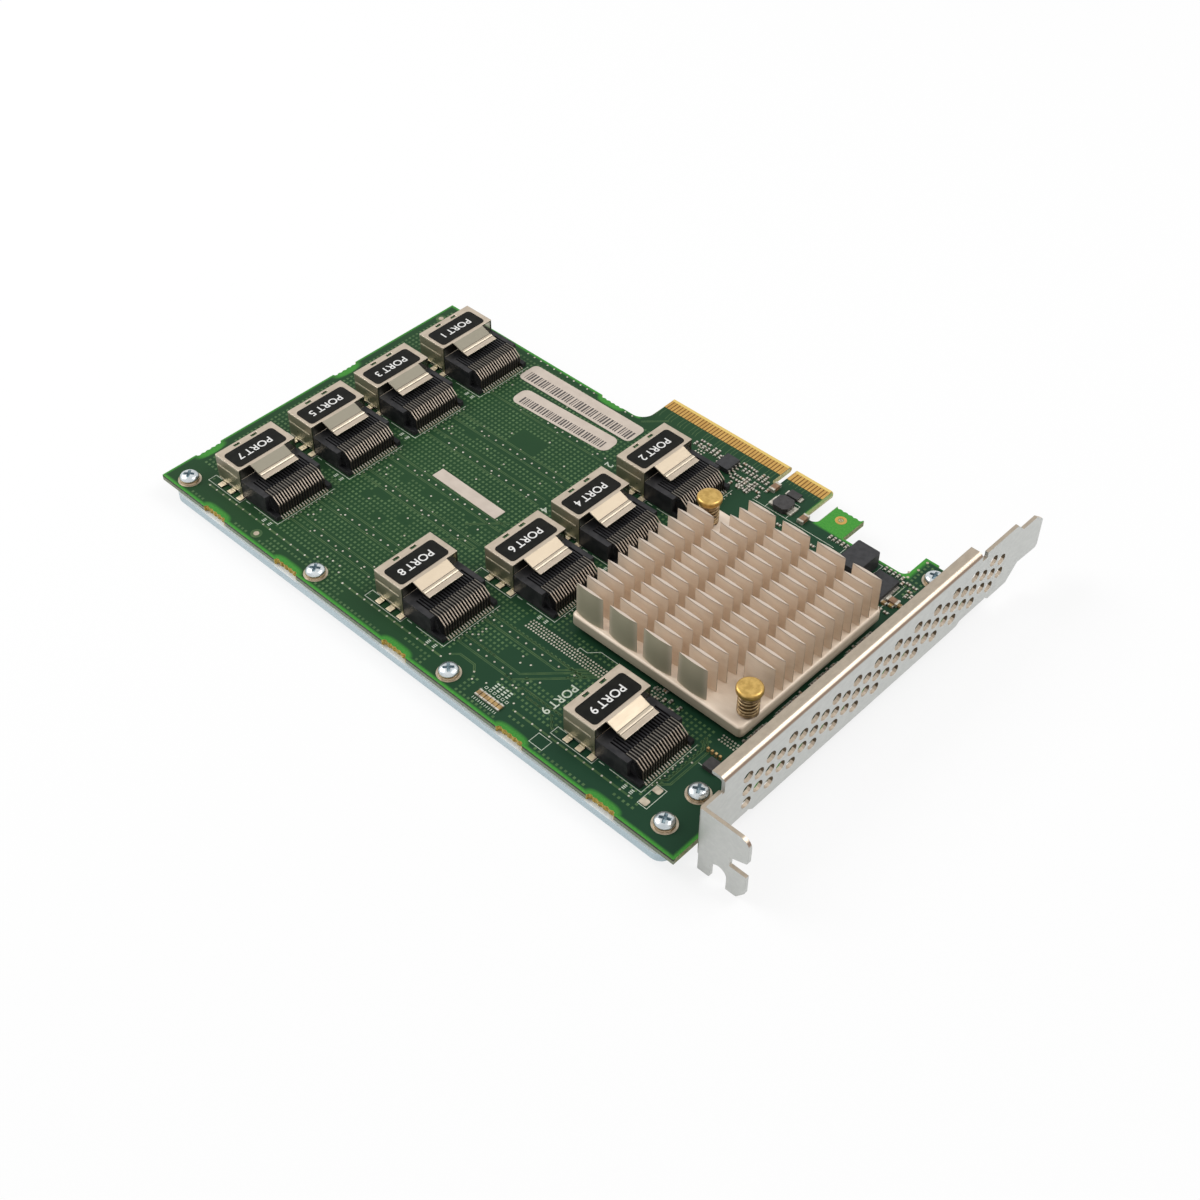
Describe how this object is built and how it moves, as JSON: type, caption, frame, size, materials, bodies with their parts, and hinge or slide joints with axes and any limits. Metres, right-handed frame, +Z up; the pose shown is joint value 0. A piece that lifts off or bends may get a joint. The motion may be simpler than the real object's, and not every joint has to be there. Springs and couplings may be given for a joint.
{
  "type": "expander card",
  "caption": "Full-height expansion card that fans out storage links: circuit board with edge connector, metal-shelled cable sockets, plate-pin heatsink and vented bracket.",
  "frame": {"origin": "middle of the key notch at the tips of the gold fingers, on the component face", "axes": "+X along the card towards the bracket, +Y from the free edge towards the edge connector, +Z up from the component face"},
  "size_m": [0.1815, 0.1258, 0.0218],
  "materials": {
    "board": "satin green solder mask",
    "bracket_plate": "satin plated steel",
    "bar_plate": "satin",
    "screw_steel": "bright plated",
    "black_package": "matte",
    "heatsink_alloy": "satin, pale beige",
    "brass": "satin",
    "spring_wire": "satin",
    "shell_sheet": "satin nickel plated",
    "black_plastic": "satin",
    "contact_metal": "bright plated",
    "resistor_body": "matte",
    "capacitor_body": "matte"
  },
  "bodies": {
    "root": {"circuit_board": "board", "bracket": "bracket_plate", "stiffener_bar": "bar_plate", "board_screws": "screw_steel", "expander_chip": "black_package", "heatsink": "heatsink_alloy", "heatsink_screws": "brass", "heatsink_springs": "spring_wire", "port_1_shell": "shell_sheet", "port_1_housing": "black_plastic", "port_1_contacts": "contact_metal", "port_2_shell": "shell_sheet", "port_2_housing": "black_plastic", "port_2_contacts": "contact_metal", "port_3_shell": "shell_sheet", "port_3_housing": "black_plastic", "port_3_contacts": "contact_metal", "port_4_shell": "shell_sheet", "port_4_housing": "black_plastic", "port_4_contacts": "contact_metal", "port_5_shell": "shell_sheet", "port_5_housing": "black_plastic", "port_5_contacts": "contact_metal", "port_6_shell": "shell_sheet", "port_6_housing": "black_plastic", "port_6_contacts": "contact_metal", "port_7_shell": "shell_sheet", "port_7_housing": "black_plastic", "port_7_contacts": "contact_metal", "port_8_shell": "shell_sheet", "port_8_housing": "black_plastic", "port_8_contacts": "contact_metal", "port_9_shell": "shell_sheet", "port_9_housing": "black_plastic", "port_9_contacts": "contact_metal", "flash_chip": "black_package", "tall_component": "black_package", "controller_chip": "black_package", "power_inductor": "black_package", "regulator_chip": "black_package", "corner_connector": "black_plastic", "resistor_arrays": "resistor_body", "chip_capacitors": "capacitor_body", "small_chips": "capacitor_body"}
  },
  "joints": []
}
